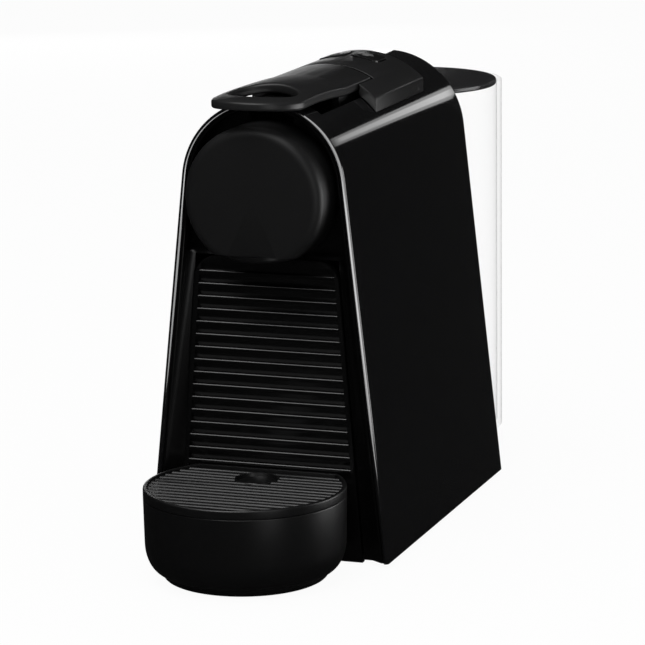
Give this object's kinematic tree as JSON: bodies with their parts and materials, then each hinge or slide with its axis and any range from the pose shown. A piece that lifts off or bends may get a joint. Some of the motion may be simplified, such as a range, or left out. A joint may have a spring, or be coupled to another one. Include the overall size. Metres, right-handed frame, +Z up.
{
  "type": "pod coffee machine",
  "caption": "Compact pod coffee machine with an arched gloss shell, round brew head, swing-up lever, clear rear water tank and a pull-out round drip tray with capsule bin.",
  "frame": {"origin": "centre of the bounding box, on the surface that it stands on", "axes": "+Z up, -Y towards the user at the drip tray, +X to the user's right"},
  "size_m": [0.11, 0.325, 0.2055],
  "materials": {
    "gloss_black": "gloss",
    "satin_black": "satin",
    "matte_black": "matte",
    "button_plastic": "satin",
    "clear_plastic": "clear gloss",
    "rubber": "matte",
    "steel": "satin",
    "heater_metal": "cast",
    "board_green": "satin",
    "inner_plastic": "matte"
  },
  "bodies": {
    "machine": {"base_plate": "matte_black", "base_screws": "steel", "board_standoffs": "inner_plastic", "brew_head_cap": "matte_black", "brew_side_left": "inner_plastic", "brew_side_right": "inner_plastic", "button_board": "board_green", "button_posts": "inner_plastic", "capsule_chute": "inner_plastic", "chassis": "inner_plastic", "coffee_funnel": "inner_plastic", "coffee_spout": "satin_black", "connector_seal": "rubber", "control_board": "board_green", "cord_gland": "matte_black", "crosshead": "inner_plastic", "extraction_plate": "steel", "flow_meter": "inner_plastic", "front_fascia": "gloss_black", "heater_block": "heater_metal", "heater_legs": "inner_plastic", "hinge_pin": "steel", "hot_hose": "rubber", "inlet_sleeve": "inner_plastic", "outer_shell": "gloss_black", "pressure_hose": "rubber", "pump_body": "steel", "pump_brackets": "inner_plastic", "pump_coil": "inner_plastic", "pump_hose": "rubber", "pump_mounts": "rubber", "rear_panel": "matte_black", "rubber_feet": "rubber", "screw_bosses": "inner_plastic", "suction_hose": "rubber", "tank_connector": "inner_plastic", "thermostats": "steel", "top_console": "satin_black"},
    "lever": {"lever_handle": "satin_black", "lever_arm": "inner_plastic"},
    "cage": {"capsule_cage": "inner_plastic", "follower_pin": "steel", "inlet_stem": "steel", "cage_seal": "rubber", "piercing_blades": "steel"},
    "espresso_key": {"espresso_button": "button_plastic"},
    "lungo_key": {"lungo_button": "button_plastic"},
    "tank": {"water_tank": "clear_plastic", "tank_valve": "inner_plastic"},
    "lid": {"tank_lid": "matte_black"},
    "tray": {"drip_tray": "satin_black", "bin_carrier": "satin_black", "capsule_bin": "matte_black", "ribbed_front": "satin_black"},
    "grid": {"drip_grid": "satin_black"}
  },
  "joints": [
    {"name": "lever_swing", "type": "hinge", "parent": "machine", "child": "lever", "pos_m": [0, -0.0155, 0.195], "axis": [-1, 0, 0], "range_deg": [0, 75]},
    {"name": "cage_travel", "type": "slide", "parent": "machine", "child": "cage", "axis": [0, 1, 0], "range_m": [0, 0.0262]},
    {"name": "espresso_press", "type": "slide", "parent": "machine", "child": "espresso_key", "axis": [0, 0, -1], "range_m": [0, 0.0015], "stiffness_N_per_m": 400},
    {"name": "lungo_press", "type": "slide", "parent": "machine", "child": "lungo_key", "axis": [0, 0, -1], "range_m": [0, 0.0015], "stiffness_N_per_m": 400},
    {"name": "tank_lift", "type": "slide", "parent": "machine", "child": "tank", "axis": [0, 0, 1], "range_m": [0, 0.19]},
    {"name": "lid_lift", "type": "slide", "parent": "tank", "child": "lid", "axis": [0, 0, 1], "range_m": [0, 0.05]},
    {"name": "tray_pull", "type": "slide", "parent": "machine", "child": "tray", "axis": [0, -1, 0], "range_m": [0, 0.1]},
    {"name": "grid_lift", "type": "slide", "parent": "tray", "child": "grid", "axis": [0, 0, 1], "range_m": [0, 0.06]}
  ],
  "couplings": [
    {"joint": "cage_travel", "follows": "lever_swing", "m_per_rad": 0.02}
  ]
}
